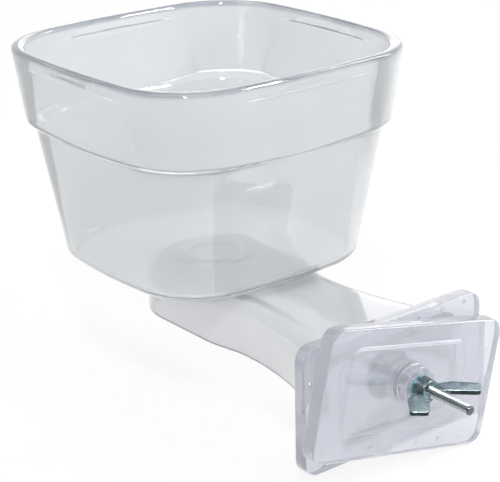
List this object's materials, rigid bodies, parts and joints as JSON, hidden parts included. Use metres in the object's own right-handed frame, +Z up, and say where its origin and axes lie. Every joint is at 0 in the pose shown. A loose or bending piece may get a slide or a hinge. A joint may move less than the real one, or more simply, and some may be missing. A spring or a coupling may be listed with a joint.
{
  "type": "seed cup",
  "caption": "Clear squarish seed cup that twist-locks onto a hollow bracket, which a bolt, an outer plate and a wing nut clamp to a cage wall.",
  "frame": {"origin": "on the bolt axis, in the plane of the bracket's clamping face", "axes": "+Z up, +Y from the clamp towards the cup, +X across the bracket; the bolt's free end points along -Y"},
  "size_m": [0.1296, 0.2114, 0.1403],
  "materials": {
    "cup_plastic": "clear, polished, moulded",
    "bracket_plastic": "clear with a faint lilac cast, moulded",
    "zinc_plate": "bright zinc plating"
  },
  "bodies": {
    "bracket": {"arm_bracket": "bracket_plastic", "bolt": "zinc_plate", "back_washer": "zinc_plate"},
    "cup": {"cup": "cup_plastic"},
    "nut_washer": {"nut_washer": "zinc_plate"},
    "clamp_plate": {"clamp_plate": "bracket_plastic"},
    "wing_nut": {"wing_nut": "zinc_plate"}
  },
  "joints": [
    {"name": "cup_twist", "type": "hinge", "parent": "bracket", "child": "cup", "pos_m": [0, 0.1097, 0.0172], "axis": [0, 0, 1], "range_deg": [0, 70]},
    {"name": "clamp_slide", "type": "slide", "parent": "bracket", "child": "nut_washer", "axis": [0, -1, 0], "range_m": [-0.0008, 0.0172]},
    {"name": "plate_swivel", "type": "hinge", "parent": "nut_washer", "child": "clamp_plate", "pos_m": [0, 0, 0], "axis": [0, -1, 0], "continuous": true},
    {"name": "nut_spin", "type": "hinge", "parent": "nut_washer", "child": "wing_nut", "pos_m": [0, 0, 0], "axis": [0, -1, 0], "range_deg": [-560, 9300]}
  ],
  "couplings": [
    {"joint": "nut_spin", "follows": "clamp_slide", "rad_per_m": 8976}
  ]
}
